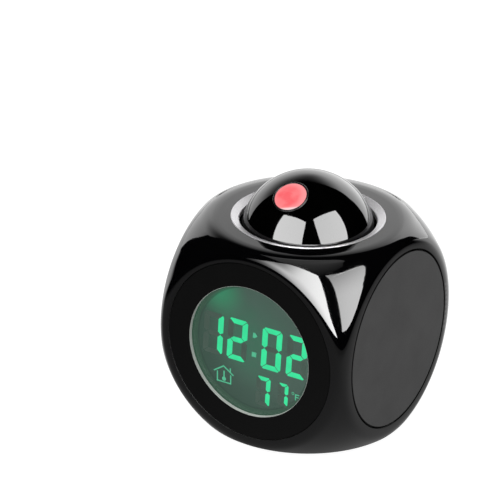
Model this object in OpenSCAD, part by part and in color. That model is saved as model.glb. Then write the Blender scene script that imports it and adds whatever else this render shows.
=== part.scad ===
// Bedside alarm clock with a die-shaped case, a round backlit display and a tilting projector ball.
// Millimetres, +Z up, the display faces -Y, the origin is on the table under the middle of the case.

/* [Case] */
// Width and depth over the flat faces
body_w = 80; // [78:0.5:90]
// Height over the flat faces, without the feet
body_h = 78.4; // [77:0.2:90]
// Radius of the ball that rounds the eight corners
corner_r = 55.3; // [54.6:0.1:56]
// Radius that blends a flat face into the corner ball
edge_r = 5.5; // [3:0.5:6.5]
// Wall behind the rounded corners
wall = 2.3; // [1.8:0.1:3]
// Wall behind the flat faces, which holds the face pieces
flat_wall = 4.5; // [4.2:0.1:5.5]

/* [Display] */
// Width of the bezel's edge beyond its rear spigot
bezel_lip = 2.5; // [2:0.1:2.8]
// Thickness of the bezel's plate
bezel_t = 1.5; // [1.2:0.1:2]
// Width of the bezel's ledge that the window rests on
window_ledge = 3.8; // [3.4:0.1:6]
// Width of the pale trim that lines the window, at its foot
trim_w = 0.6; // [0.4:0.1:1]
// Width of the trim's front edge
trim_edge = 0.1; // [0.1:0.05:0.3]
// Length of the straight foot of the trim, before its outer side closes in
trim_foot = 0.8; // [0.5:0.1:1]
// Thickness of the clear window
window_t = 0.8; // [0.6:0.1:1.2]
// Gap between the bezel's rear spigot and the nearest wall of the case
spigot_gap = 2.5; // [2:0.1:2.9]
// Wall of the bezel's rear spigot
spigot_wall = 2.9; // [2.6:0.1:3.2]
// Side of the liquid crystal glass before its corners are clipped
lcd_side = 54; // [52:0.5:56]
// Thickness of the liquid crystal glass
lcd_t = 1.8; // [1.4:0.1:2.2]
// Depth of the frame that holds the backlight
holder_t = 4.3; // [4:0.1:5]
// Wall of the frame at the corners of the backlight plate
holder_edge = 1.62; // [1.2:0.01:3]
// Width of a contact strip
strip_w = 2.4; // [1.6:0.1:2.6]

/* [Side panels] */
// Radius of a matt side panel
side_r = 33.4; // [31:0.1:33.6]
// Thickness of a side panel
side_t = 1.5; // [1.2:0.1:2]
// Width of the dark groove round a side panel
groove = 0.7; // [0.2:0.1:0.8]
// Radius of a side panel's peg
peg_r = 1.5; // [1.2:0.1:2]
// Distance of the pegs from the panel's middle
peg_place = 24; // [16:1:28]

/* [Back] */
// Radius of the rear panel
rear_r = 33.6; // [33.2:0.1:33.8]
// Thickness of the rear panel
rear_t = 2; // [1.8:0.1:2.2]
// Depth of the rear panel below the flat face
rear_sink = 1; // [0.8:0.1:1.2]
// Radius of the opening behind the rear panel
rear_open_r = 29.8; // [29.4:0.1:30]
// Length of a key
key_l = 7.2; // [6:0.1:7.4]
// Height of a key
key_h = 5; // [4:0.1:6]
// Distance between two keys
key_pitch = 10; // [9.8:0.1:10.2]
// Height of the row of keys above the middle of the panel
key_row = 12; // [11.5:0.1:12.5]
// Travel of a key
key_travel = 0.6; // [0.4:0.1:0.8]
// Width of the flange that keeps a key in
key_flange = 0.8; // [0.6:0.1:1]
// Radius of the loudspeaker
speaker_r = 14; // [12:0.5:15]
// Height of the loudspeaker below the middle of the panel
speaker_drop = 11; // [10:0.5:13]
// Radius of a hole in the loudspeaker's grille
grille_hole_r = 0.8; // [0.6:0.1:1]
// Distance between two rings of grille holes
grille_pitch = 3.2; // [2.8:0.1:3.6]

/* [Base] */
// Radius of the base cover
base_r = 33.6; // [33.2:0.1:33.8]
// Thickness of the base cover and of the battery door
base_t = 2; // [1.8:0.1:2.4]
// Height of the feet below the base
foot_proud = 0.8; // [0.5:0.1:1.5]
// Depth of a foot's seat in the base cover
foot_seat = 0.8; // [0.5:0.1:1.2]
// Radius of a foot
foot_r = 3.5; // [2.5:0.1:3.8]
// Places of the feet from the middle, sideways
foot_x = 17.5; // [15:0.5:18]
// Places of the feet from the middle, front to back
foot_y = 23.6; // [23:0.1:24]
// Diameter of a battery cell
cell_d = 10.5; // [10:0.1:10.6]
// Length of a battery cell without its button
cell_l = 43.7; // [43:0.1:44]
// Room for a contact at each end of a cell
contact_room = 3; // [2.8:0.1:3.2]
// Wall of the battery bay
bay_wall = 1.2; // [1:0.1:1.4]
// Radius of the rolled edge that the battery door turns on
door_roll_r = 1.4; // [1.2:0.1:1.5]
// Radius of the battery door's pivots
door_pin_r = 0.8; // [0.6:0.1:0.9]

/* [Top] */
// Gap between the ball and the silver collar
ball_gap = 0.2; // [0.2:0.05:0.8]
// Width of the collar
collar_w = 3.15; // [2.8:0.05:3.6]
// Depth of the collar's seat
collar_seat = 3; // [2.5:0.1:3.2]
// Height of the collar's outer edge above the top face
collar_proud = 0.3; // [0:0.1:0.6]
// Fall of the collar's dished face from its outer to its inner edge
collar_dish = 1; // [0.1:0.05:1.2]
// Gap between the ball and the opening under the collar
open_gap = 1.6; // [1.3:0.1:2]

/* [Projector ball] */
// Radius of the ball
ball_r = 25.2; // [24:0.1:25.2]
// Depth of the ball's middle below the top face
ball_drop = 8.3; // [8.1:0.1:9]
// Forward tilt of the projector from upright, as it stands
ball_tilt = 31.5; // [0:0.5:50]
// Wall of the ball
ball_wall = 2; // [1.6:0.1:2.4]
// Distance of the ball's seam from its middle
seam_drop = 14; // [12:0.5:15]
// Radius of the coloured lens
lens_r = 5.95; // [5:0.05:6]
// Width of the ring round the lens
lens_ring_w = 0.85; // [0.6:0.05:1.2]
// Height of the ring round the lens above the ball
lens_ring_proud = 0.3; // [0.1:0.1:0.5]
// Height of the lens's crown
lens_crown = 0.3; // [0.3:0.1:1.5]
// Wall of the projector's barrel
barrel_wall = 1; // [0.8:0.1:1.4]
// Radius of the ball's pivot pins
pin_r = 2; // [1.5:0.1:2.4]

/* [Press carrier] */
// Travel of the ball when it is pressed for the spoken time
press_travel = 1.5; // [1:0.1:1.8]
// Thickness of an ear that carries a pivot pin
ear_t = 2.4; // [2:0.1:3]
// Radius of an ear round its pin
ear_r = 3.6; // [3.4:0.1:3.7]
// Thickness of the carrier's floor
carrier_t = 2; // [1.6:0.1:2.4]
// Gap between the carrier's floor and the ball
carrier_gap = 0.7; // [0.5:0.1:1]
// Gap between the carrier and the key board behind it
carrier_room = 2.7; // [2.5:0.1:2.8]
// Radius of a guide post
post_r = 1.8; // [1.5:0.1:2.2]
// Distance of the guide posts from the middle
post_place = 22; // [21:0.2:23]
// Radius of the return spring at the middle of its wire
spring_r = 7; // [6:0.1:7.2]
// Radius of the spring's wire
spring_wire_r = 0.5; // [0.3:0.05:0.7]
// Depth of the cup that holds the spring
cup_depth = 9; // [8:0.5:12]
// Thickness of the chassis
chassis_t = 2; // [1.6:0.1:2.5]
// Width of the chassis
chassis_w = 58; // [56:0.5:58]
// Depth of the chassis, front to back
chassis_l = 48; // [46:0.5:50]

/* [Fits] */
// Radial gap of a piece that drops into a seat
seat_fit = 0.1; // [0.05:0.01:0.15]
// Radial gap of a shaft that turns or slides in its bore
run_fit = 0.05; // [0.03:0.01:0.08]
// Gap between stacked pieces and round a screw
stack_fit = 0.05; // [0.03:0.01:0.1]
// Gap round a key and round the battery door
move_gap = 0.2; // [0.15:0.05:0.3]
// Radius of a small screw's shank
screw_r = 0.9; // [0.7:0.1:1]
// Radius of a small screw's head
screw_head_r = 1.7; // [1.4:0.1:1.8]
// Height of a small screw's head
screw_head_t = 1.1; // [0.8:0.1:1.3]
// Thickness of the circuit boards
board_t = 1.2; // [0.8:0.1:1.6]

/* [Hidden] */
$fn = 96;
cut = 0.5;                                        // how far a cut runs past the face it opens
graze = 0.002;                                    // keeps two touching round faces apart
half_w = body_w / 2;
mid_z = foot_proud + body_h / 2;                  // middle of the display and of the side panels
top_z = foot_proud + body_h;
cavity_half = half_w - flat_wall;
screw_place = 31.6;                               // screws of the rear panel and the base cover
boss_r = 2.2;                                     // bosses behind those screws
boss_l = 2.2;
pilot_r = screw_r + stack_fit;
screw_free_r = screw_r + 0.15;

// Radii of the display, from the nearest wall of the case inwards
spigot_r = min(body_w, body_h) / 2 - flat_wall - spigot_gap;
bezel_r = spigot_r + bezel_lip;
spigot_in_r = spigot_r - spigot_wall;
lens_fit_r = spigot_in_r - seat_fit;              // window, glass and frame inside the spigot
window_r = spigot_in_r - window_ledge;
trim_hole_r = window_r + trim_w + stack_fit;

// Depths behind the front face
window_d = bezel_t;
lcd_d = window_d + window_t + stack_fit;
holder_d = lcd_d + lcd_t + stack_fit;
board_d = holder_d + holder_t;
backlight_side = sqrt(2) * (lens_fit_r - holder_edge);
board_screw_place = spigot_r - spigot_wall / 2;
board_screw_grip = 4;                             // length of a screw in the spigot
strip_place = backlight_side / 2 + 1.6 + strip_w / 2;
strip_l = 0.72 * backlight_side;
hook_t = 1.1;
hook_reach = 1;
hook_w = 9;
resin_r = 7;                                      // drop of resin over the clock chip
resin_t = 1.4;
crystal_w = 3;                                    // quartz can
crystal_l = 8;
crystal_t = 2;
crystal_place = [-4, -15];
capacitor_r = 2;
capacitor_t = 1.3;
capacitor_place = [13, 2];

// Depths behind the rear flat face
rear_back = rear_sink + rear_t;
key_flange_t = 1;
key_flange_d = rear_back + stack_fit;
switch_button_t = 0.8;
switch_body_t = 2.2;
key_switch_side = 4.5;
press_switch_side = 6;
key_stem_end = key_flange_d + key_flange_t + 1;
switch_top = key_stem_end + key_travel + stack_fit;
key_board_d = switch_top + switch_button_t + switch_body_t;
key_board_w = 2 * (1.5 * key_pitch + key_l / 2 + key_flange + 4.6);
key_board_h = 10;
key_post_r = 1.9;
key_post_place = key_board_w / 2 - key_post_r - 0.4;
key_screw_grip = 3.5;                             // length of a screw in a post
speaker_flange_t = 1.4;
speaker_lip = 1;
speaker_t = 7;                                    // depth of the loudspeaker with its magnet
basket_t = 4;
cone_t = 2.2;

// The battery bay, from the table up
base_z = foot_proud;
bay_floor = base_z + base_t;
cell_gap = 0.3;
bay_l = cell_l + 2 * contact_room;
bay_w = 3 * cell_d + 4 * cell_gap;
cell_z = bay_floor + cell_gap + cell_d / 2;
bay_top = cell_z + cell_d / 2 + cell_gap;
cell_pitch = cell_d + cell_gap;
cell_button_r = 1.9;
cell_button_l = 0.8;
contact_w = 7;
door_axis_y = bay_w / 2 - move_gap - door_roll_r;
door_axis_z = base_z + door_roll_r;

// The ball, its collar and carrier, and the chassis
ball_z = top_z - ball_drop;
collar_in_r = ball_r + ball_gap;
collar_r = collar_in_r + collar_w;
top_open_r = ball_r + open_gap;
pole_flat = ball_r - 0.3;                         // small flats where the pins leave the ball
pin_depth = 5.2;                                  // of the pins' bores
pin_boss_l = 5.5;
cap_pilot_l = 6;
washer_t = 0.8;
ear_in = pole_flat + washer_t + 2 * stack_fit;
carrier_r = ear_in + 1.4;
carrier_half = half_w - key_board_d - board_t - carrier_room;   // front and back sides of the carrier
carrier_top = ball_z - ball_r - carrier_gap;
carrier_z = carrier_top - carrier_t;
chassis_top = carrier_z - press_travel - 0.5;
chassis_z = chassis_top - chassis_t;
cup_floor = chassis_top - cup_depth;
cup_in_r = spring_r + spring_wire_r + 0.7;
cup_wall = 1.4;
switch_top_z = cup_floor + switch_body_t + switch_button_t;
plunger_end = switch_top_z + press_travel + 0.1;
sleeve_l = 7;
sleeve_wall = 1.2;
post_top = carrier_z + sleeve_l + 1.5;
rim_h = 7;
shelf_w = 9;
shelf_place = 14;
shelf_reach = 11.5;
shelf_t = 6;
chassis_screw_x = chassis_w / 2 - 3;

// Places along the projector's own axis, from the middle of the ball
lens_hole_r = lens_r + lens_ring_w + stack_fit;
lens_face = sqrt(pow(ball_r, 2) - pow(lens_hole_r, 2));
lens_ring_l = 4.5;
lens_edge_t = 1.2;
lens_seat = lens_face - 1.1;                      // underside of the lens's edge
barrel_r = lens_r + lens_ring_w;
barrel_top = lens_face + lens_ring_proud - lens_ring_l - stack_fit;
barrel_foot = 4;
slide_side = 12;
slide_t = 1.6;
slide_grip = 4;                                   // room beside the slide for its fingers
condenser_r = 9;                                  // radius of the condenser's crown
condenser_t = 3.2;
condenser_s = 3;                                  // above the foot of the barrel
led_board_r = 15;
led_board_s = -5;
led_side = 5;
led_t = 1;
led_dome_r = 2;
ball_post_place = 12.5;
ball_post_r = 2.2;
cap_floor = 2.4;
wire_hole_r = 3;

/* ---------- shared shapes ---------- */

// Puts its children on one of the four upright flat faces, with local z pointing out of the case
module on_face(turn) {
    translate([0, 0, mid_z]) rotate([90, 0, turn]) translate([0, 0, half_w]) children();
}

// Copies its children to a square of four places
module four_places(x, y) {
    for (sx = [-1, 1], sy = [-1, 1]) translate([sx * x, sy * y, 0]) children();
}

// Copies its children round a circle
module round_places(count, r, start = 0) {
    for (k = [0 : count - 1]) rotate([0, 0, start + k * 360 / count]) translate([r, 0, 0]) children();
}

// A flat ring that lies on z = 0
module ring(outer, inner, height) {
    difference() {
        cylinder(r = outer, h = height);
        translate([0, 0, -cut]) cylinder(r = inner, h = height + 2 * cut);
    }
}

// A slot shape with round ends, length along x
module slot(length, height, depth) {
    linear_extrude(depth) {
        square([length - height, height], center = true);
        for (s = [-1, 1]) translate([s * (length - height) / 2, 0]) circle(height / 2);
    }
}

// Half outline of what is cut off a ball to leave a flat face with a rounded edge
module face_cut_outline(half) {
    ball = corner_r + graze;
    flat_r = sqrt(pow(ball - edge_r, 2) - pow(half - edge_r, 2));
    blend = ball * (half - edge_r) / (ball - edge_r);
    difference() {
        translate([0, half - edge_r]) square(ball);
        square([flat_r, half]);
        translate([flat_r, half - edge_r]) circle(edge_r);
        intersection() {
            circle(ball);
            translate([flat_r, 0]) square([ball, blend]);
        }
    }
}

// The die: a ball with six rounded faces
module die_solid() {
    difference() {
        sphere(corner_r);
        for (s = [0, 1]) mirror([0, 0, s]) rotate_extrude() face_cut_outline(body_h / 2);
        for (turn = [0 : 90 : 270]) rotate([90, 0, turn]) rotate_extrude() face_cut_outline(half_w);
    }
}

// A small cross-head screw: the head's underside is on z = 0 and the shank points down
module screw(length) {
    difference() {
        union() {
            cylinder(r = screw_head_r, h = screw_head_t, $fn = 32);
            translate([0, 0, -length]) cylinder(r = screw_r, h = length + cut, $fn = 32);
        }
        for (a = [0, 90]) rotate([0, 0, a]) translate([0, 0, screw_head_t])
            cube([1.7 * screw_head_r, 0.45, screw_head_t], center = true);
    }
}

// A tact switch that stands on z = 0
module tact_switch(side, button_r) {
    translate([-side / 2, -side / 2, 0]) cube([side, side, switch_body_t]);
    translate([0, 0, switch_body_t - cut])
        cylinder(r = button_r, h = switch_button_t + cut, $fn = 32);
}

// A coil of round wire from z = 0 to z = height: its radius may change from r0 to r1
module coil(r0, r1, height, turns, wire, per_turn = 24, sides = 8) {
    steps = turns * per_turn;
    rise = height - 2 * wire;
    points = [for (i = [0 : steps]) let (a = i * 360 / per_turn, r = r0 + (r1 - r0) * i / steps)
        for (k = [0 : sides - 1]) let (b = k * 360 / sides)
            [(r + wire * cos(b)) * cos(a), (r + wire * cos(b)) * sin(a),
             wire + rise * i / steps + wire * sin(b)]];
    walls = [for (i = [0 : steps - 1], k = [0 : sides - 1]) let (n = (k + 1) % sides)
        [i * sides + k, (i + 1) * sides + k, (i + 1) * sides + n, i * sides + n]];
    ends = [[for (k = [0 : sides - 1]) k], [for (k = [sides - 1 : -1 : 0]) steps * sides + k]];
    polyhedron(points = points, faces = concat(walls, ends));
}

/* ---------- case ---------- */

module housing_cavity() {
    intersection() {
        cube([2 * cavity_half, 2 * cavity_half, body_h - 2 * flat_wall], center = true);
        sphere(corner_r - wall);
    }
}

// A bracket on a side wall that carries one corner of the chassis
module chassis_shelf() {
    translate([chassis_screw_x - 3, shelf_place - shelf_w / 2, chassis_z - shelf_t])
        cube([cavity_half - chassis_screw_x + 3 + 1, shelf_w, shelf_t]);
}

module housing() color("#101012") difference() {
    union() {
        difference() {
            translate([0, 0, mid_z]) die_solid();
            translate([0, 0, mid_z]) housing_cavity();
        }
        for (sx = [0, 1], sy = [0, 1]) mirror([sx, 0, 0]) mirror([0, sy, 0]) chassis_shelf();
        on_face(180) translate([0, 0, -flat_wall - boss_l])
            round_places(4, screw_place, 45) cylinder(r = boss_r, h = boss_l + 1, $fn = 48);
        translate([0, 0, base_z + flat_wall - 1])
            round_places(4, screw_place) cylinder(r = boss_r, h = boss_l + 1, $fn = 48);
    }
    // seat of the display bezel, with an opening for its spigot
    on_face(0) {
        translate([0, 0, -bezel_t]) cylinder(r = bezel_r + seat_fit, h = bezel_t + cut);
        translate([0, 0, -flat_wall - cut]) cylinder(r = spigot_r + seat_fit, h = flat_wall + cut);
    }
    // seats and peg holes of the side panels
    for (turn = [90, 270]) on_face(turn) {
        translate([0, 0, -side_t]) cylinder(r = side_r + groove, h = side_t + cut);
        translate([0, 0, -flat_wall - cut]) round_places(3, peg_place, 90)
            cylinder(r = peg_r + seat_fit, h = flat_wall + cut, $fn = 48);
    }
    // seat of the rear panel, the opening behind it and its screw holes
    on_face(180) {
        translate([0, 0, -rear_back]) cylinder(r = rear_r + seat_fit, h = rear_back + cut);
        translate([0, 0, -flat_wall - cut]) cylinder(r = rear_open_r, h = flat_wall + cut);
        translate([0, 0, -flat_wall - boss_l - cut]) round_places(4, screw_place, 45)
            cylinder(r = pilot_r, h = flat_wall + boss_l, $fn = 32);
    }
    // seat of the base cover, the opening for the battery bay and the screw holes
    translate([0, 0, base_z - cut]) cylinder(r = base_r + seat_fit, h = base_t + cut);
    translate([0, 0, base_z + flat_wall / 2])
        cube([bay_l + 2 * bay_wall + 4 * seat_fit, bay_w + 2 * bay_wall + 4 * seat_fit, flat_wall + 1],
             center = true);
    translate([0, 0, base_z]) round_places(4, screw_place)
        cylinder(r = pilot_r, h = flat_wall + boss_l + cut, $fn = 32);
    // seat of the silver collar and the opening for the ball
    translate([0, 0, top_z - collar_seat]) cylinder(r = collar_r + seat_fit, h = collar_seat + cut);
    translate([0, 0, top_z - flat_wall - cut]) cylinder(r = top_open_r, h = flat_wall + cut);
    // screw holes of the chassis
    four_places(chassis_screw_x, shelf_place) translate([0, 0, chassis_z - shelf_t - cut])
        cylinder(r = pilot_r, h = shelf_t + 2 * cut, $fn = 32);
}

/* ---------- display ---------- */

module display_bezel() color("#131313") on_face(0) {
    difference() {
        union() {
            rotate_extrude() polygon([[0, -bezel_t], [bezel_r, -bezel_t], [bezel_r, -0.3],
                [bezel_r - 0.3, 0], [0, 0]]);
            translate([0, 0, -board_d]) cylinder(r = spigot_r, h = board_d - bezel_t + 0.1);
            // snap hooks that catch behind the case's ledge
            intersection() {
                translate([0, 0, -flat_wall - stack_fit - hook_t])
                    cylinder(r = spigot_r + hook_reach, h = hook_t);
                for (a = [0, 90]) rotate([0, 0, a]) translate([0, 0, -flat_wall])
                    cube([3 * spigot_r, hook_w, 4 * hook_t], center = true);
            }
        }
        // window hole: it closes in towards the front, over the trim
        rotate_extrude() polygon([[0, -bezel_t - cut], [trim_hole_r, -bezel_t - cut],
            [trim_hole_r, trim_foot - bezel_t], [window_r + trim_edge + stack_fit, -trim_edge],
            [window_r + trim_edge + stack_fit, cut], [0, cut]]);
        translate([0, 0, -board_d - cut]) cylinder(r = spigot_in_r, h = board_d - bezel_t + cut);
        translate([0, 0, -board_d - cut]) round_places(4, board_screw_place, 45)
            cylinder(r = pilot_r, h = board_screw_grip + 1 + cut, $fn = 32);
    }
}

// A liner whose outer side narrows to a thin front edge, so the bezel holds it in
module window_trim() color("#c9cdc8") on_face(0) rotate_extrude()
    polygon([[window_r, -bezel_t], [window_r + trim_w, -bezel_t],
        [window_r + trim_w, trim_foot - bezel_t], [window_r + trim_edge, -trim_edge],
        [window_r, -trim_edge]]);

module display_window() color("#dfe8e4", 0.35) on_face(0)
    translate([0, 0, -window_d - window_t]) cylinder(r = lens_fit_r, h = window_t - stack_fit);

// A square plate whose corners follow the spigot
module clipped_square(side, thickness) {
    intersection() {
        translate([-side / 2, -side / 2, 0]) cube([side, side, thickness]);
        cylinder(r = lens_fit_r, h = thickness);
    }
}

module lcd_glass() color("#3f6b59") on_face(0)
    translate([0, 0, -lcd_d - lcd_t]) clipped_square(lcd_side, lcd_t);

module strip_slots(extra) {
    for (s = [-1, 1]) translate([0, s * strip_place, -board_d - holder_t / 2 + holder_t])
        cube([strip_l + 2 * extra, strip_w + 2 * extra, 2 * holder_t], center = true);
}

module lcd_holder() color("#e6e6e2") on_face(0) difference() {
    translate([0, 0, -board_d]) cylinder(r = lens_fit_r, h = holder_t);
    cube([backlight_side + 2 * stack_fit, backlight_side + 2 * stack_fit, 4 * board_d], center = true);
    strip_slots(stack_fit);
}

module backlight() color("#e9fff4") on_face(0) translate([0, 0, -holder_d - holder_t + 1])
    linear_extrude(holder_t - 1) square(backlight_side, center = true);

module contact_strips() color("#3a3a3c") on_face(0)
    for (s = [-1, 1]) translate([0, s * strip_place, -board_d + holder_t / 2])
        cube([strip_l, strip_w, holder_t], center = true);

module main_board() color("#1f5a36") on_face(0) difference() {
    translate([0, 0, -board_d - board_t]) cylinder(r = spigot_r - stack_fit, h = board_t);
    translate([0, 0, -board_d - board_t - cut]) round_places(4, board_screw_place, 45)
        cylinder(r = screw_free_r, h = board_t + 2 * cut, $fn = 32);
}

// The clock chip under its drop of black resin, a quartz can and two capacitors
module controller_chip() color("#17171a") on_face(0) translate([0, 0, -board_d - board_t]) mirror([0, 0, 1]) {
    crown_r = (pow(resin_r, 2) + pow(resin_t, 2)) / (2 * resin_t);
    intersection() {
        cylinder(r = resin_r, h = resin_t);
        translate([0, 0, resin_t - crown_r]) sphere(crown_r);
    }
    translate(concat(crystal_place, crystal_t / 2)) cube([crystal_l, crystal_w, crystal_t], center = true);
    for (s = [-1, 1]) translate([s * capacitor_place[0], capacitor_place[1], 0])
        cylinder(r = capacitor_r, h = capacitor_t, $fn = 48);
}

module board_screws() color("silver") on_face(0) translate([0, 0, -board_d - board_t]) mirror([0, 0, 1])
    round_places(4, board_screw_place, 45) screw(board_t + board_screw_grip);

/* ---------- side panels ---------- */

module side_panel() {
    rotate_extrude() polygon([[0, -side_t], [side_r, -side_t], [side_r, -0.2], [side_r - 0.2, 0], [0, 0]]);
    translate([0, 0, -flat_wall + 0.5]) round_places(3, peg_place, 90)
        cylinder(r = peg_r, h = flat_wall - side_t, $fn = 48);
}

module side_panel_right() color("#4b4b4b") on_face(90) side_panel();

module side_panel_left() color("#4b4b4b") on_face(270) side_panel();

/* ---------- back ---------- */

function key_place(index) = [(index - 1.5) * key_pitch, key_row, 0];

module rear_panel() color("#1a1a1c") on_face(180) difference() {
    union() {
        translate([0, 0, -rear_back]) cylinder(r = rear_r, h = rear_t);
        // posts of the key board
        for (s = [-1, 1]) translate([s * key_post_place, key_row, -key_board_d])
            cylinder(r = key_post_r, h = key_board_d - rear_back + cut, $fn = 48);
        // wall round the loudspeaker
        translate([0, -speaker_drop, -rear_back - speaker_flange_t])
            cylinder(r = speaker_r + seat_fit + speaker_lip, h = speaker_flange_t + cut);
    }
    translate([0, -speaker_drop, -rear_back - speaker_flange_t - cut])
        cylinder(r = speaker_r + seat_fit, h = speaker_flange_t + cut);
    for (k = [0 : 3]) translate(key_place(k)) translate([0, 0, -rear_back - cut])
        slot(key_l + 2 * move_gap, key_h + 2 * move_gap, rear_t + 2 * cut);
    for (s = [-1, 1]) translate([s * key_post_place, key_row, -key_board_d - cut])
        cylinder(r = pilot_r, h = key_screw_grip + 0.5 + cut, $fn = 32);
    // grille: one hole in the middle and three rings round it
    translate([0, -speaker_drop, -rear_back - cut]) {
        cylinder(r = grille_hole_r, h = rear_t + 2 * cut, $fn = 32);
        for (n = [1 : 3]) round_places(6 * n, n * grille_pitch)
            cylinder(r = grille_hole_r, h = rear_t + 2 * cut, $fn = 32);
    }
    // countersunk seats of the four screws
    round_places(4, screw_place, 45) {
        translate([0, 0, -rear_back - cut]) cylinder(r = screw_free_r, h = rear_t + 2 * cut, $fn = 32);
        translate([0, 0, -rear_sink - screw_head_t]) cylinder(r = screw_head_r + seat_fit, h = 2, $fn = 32);
    }
}

module key(index) color("#2b2b2e") on_face(180) translate(key_place(index)) {
    translate([0, 0, -key_flange_d - cut]) slot(key_l, key_h, key_flange_d + cut - 0.1);
    translate([0, 0, -key_flange_d - key_flange_t])
        slot(key_l + 2 * key_flange, key_h + 2 * key_flange, key_flange_t);
    translate([0, 0, -key_stem_end]) cylinder(r = 1.5, h = key_stem_end - key_flange_d, $fn = 48);
}

module key_mode() key(0);

module key_set() key(1);

module key_up() key(2);

module key_down() key(3);

module key_board() color("#1f5a36") on_face(180) difference() {
    translate([-key_board_w / 2, key_row - key_board_h / 2, -key_board_d - board_t])
        cube([key_board_w, key_board_h, board_t]);
    for (s = [-1, 1]) translate([s * key_post_place, key_row, -key_board_d - board_t - cut])
        cylinder(r = screw_free_r, h = board_t + 2 * cut, $fn = 32);
}

module key_switches() color("#2a2a2a") on_face(180)
    for (k = [0 : 3]) translate(key_place(k)) translate([0, 0, -key_board_d])
        tact_switch(key_switch_side, key_switch_side / 4);

module key_board_screws() color("silver") on_face(180)
    for (s = [-1, 1]) translate([s * key_post_place, key_row, -key_board_d - board_t])
        mirror([0, 0, 1]) screw(board_t + key_screw_grip);

// Loudspeaker: flange, basket, magnet and the paper cone behind the grille
module speaker() color("#3c3c40") on_face(180) translate([0, -speaker_drop, -rear_back]) mirror([0, 0, 1])
    rotate_extrude() polygon([[0, cone_t], [0.35 * speaker_r, 0.8 * cone_t], [0.82 * speaker_r, 0.3 * cone_t],
        [0.86 * speaker_r, 0], [speaker_r, 0], [speaker_r, speaker_flange_t],
        [0.8 * speaker_r, 1.3 * speaker_flange_t], [0.62 * speaker_r, basket_t],
        [0.62 * speaker_r, speaker_t], [0, speaker_t]]);

module rear_screws() color("silver") on_face(180) translate([0, 0, -rear_sink - screw_head_t])
    round_places(4, screw_place, 45) screw(rear_t - screw_head_t + boss_l);

/* ---------- base ---------- */

module base_cover() color("#1a1a1c") difference() {
    union() {
        translate([0, 0, base_z]) cylinder(r = base_r, h = base_t);
        translate([-bay_l / 2 - bay_wall, -bay_w / 2 - bay_wall, base_z])
            cube([bay_l + 2 * bay_wall, bay_w + 2 * bay_wall, bay_top + bay_wall - base_z]);
    }
    translate([-bay_l / 2, -bay_w / 2, base_z - cut]) cube([bay_l, bay_w, bay_top - base_z + cut]);
    // bores of the battery door's pivots
    translate([0, door_axis_y, door_axis_z]) rotate([0, 90, 0])
        cylinder(r = door_pin_r + run_fit, h = bay_l + 2 * bay_wall - 0.4, center = true, $fn = 48);
    // finger notch in front of the door
    translate([0, -bay_w / 2 - 2, base_z - cut]) cylinder(r = 5, h = cut + base_t / 2);
    four_places(foot_x, foot_y) translate([0, 0, base_z - cut])
        cylinder(r = foot_r + seat_fit, h = foot_seat + cut, $fn = 64);
    round_places(4, screw_place) {
        translate([0, 0, base_z - cut]) cylinder(r = screw_free_r, h = base_t + 2 * cut, $fn = 32);
        translate([0, 0, base_z - cut]) cylinder(r = screw_head_r + seat_fit, h = screw_head_t + cut, $fn = 32);
    }
}

// The door turns down on two pivots at its rolled rear edge
module battery_door() color("#1a1a1c") {
    translate([-bay_l / 2 + move_gap, -bay_w / 2 + move_gap, base_z])
        cube([bay_l - 2 * move_gap, door_axis_y + bay_w / 2 - move_gap, base_t]);
    translate([0, door_axis_y, door_axis_z]) rotate([0, 90, 0]) {
        cylinder(r = door_roll_r, h = bay_l - 2 * move_gap, center = true, $fn = 48);
        cylinder(r = door_pin_r, h = bay_l + 2 * bay_wall - 1, center = true, $fn = 48);
    }
}

module feet() color("#202020") four_places(foot_x, foot_y) difference() {
    cylinder(r = foot_r, h = foot_proud + foot_seat, $fn = 64);
    translate([0, 0, -cut]) cylinder(r = foot_r / 3, h = cut + 0.3, $fn = 48);
}

// Three cells side by side, the middle one the other way round
module battery_cells() color("#b9bcc0") for (k = [-1 : 1])
    translate([0, k * cell_pitch, cell_z]) rotate([0, k == 0 ? -90 : 90, 0]) {
        cylinder(r = cell_d / 2, h = cell_l, center = true);
        translate([0, 0, cell_l / 2 - cut])
            cylinder(r = cell_button_r, h = cell_button_l + cut, $fn = 48);
    }

// A plate against each cell's button, and a bent leaf against its other end
module battery_contacts() color("#c8c8c2") for (k = [-1 : 1])
    translate([0, k * cell_pitch, cell_z]) rotate([0, k == 0 ? -90 : 90, 0]) {
        translate([-contact_w / 2, -contact_w / 2, cell_l / 2 + cell_button_l + stack_fit])
            cube([contact_w, contact_w, contact_room - cell_button_l - 2 * stack_fit]);
        translate([0, 0, -cell_l / 2 - contact_room + stack_fit]) rotate([90, 0, 90])
            linear_extrude(contact_w - 2, center = true) leaf_outline(contact_w, contact_room - 2 * stack_fit);
    }

// Outline of a bent leaf: its feet are on y = 0 and its crest is at y = rise
module leaf_outline(length, rise) {
    sheet = 0.4;
    foot = length / 6;
    polygon([[-length / 2, 0], [-length / 2 + foot, 0], [0, rise - sheet], [length / 2 - foot, 0],
        [length / 2, 0], [length / 2, sheet], [length / 2 - foot, sheet + 0.1], [foot / 2, rise],
        [-foot / 2, rise], [foot - length / 2, sheet + 0.1], [-length / 2, sheet]]);
}

module base_screws() color("silver") translate([0, 0, base_z + screw_head_t]) mirror([0, 0, 1])
    round_places(4, screw_place) screw(base_t - screw_head_t + boss_l);

/* ---------- top ---------- */

// A dished ring: its outer edge is rounded and stands highest
module collar_ring() color("#cbc9cb") translate([0, 0, top_z + collar_proud]) {
    edge = 0.3;
    rotate_extrude() polygon(concat([[collar_in_r, -collar_seat - collar_proud],
        [collar_r, -collar_seat - collar_proud]],
        [for (a = [0 : 22.5 : 90]) [collar_r - edge + edge * cos(a), edge * sin(a) - edge]],
        [[collar_in_r + edge, -collar_dish], [collar_in_r, -collar_dish - edge]]));
}

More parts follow.
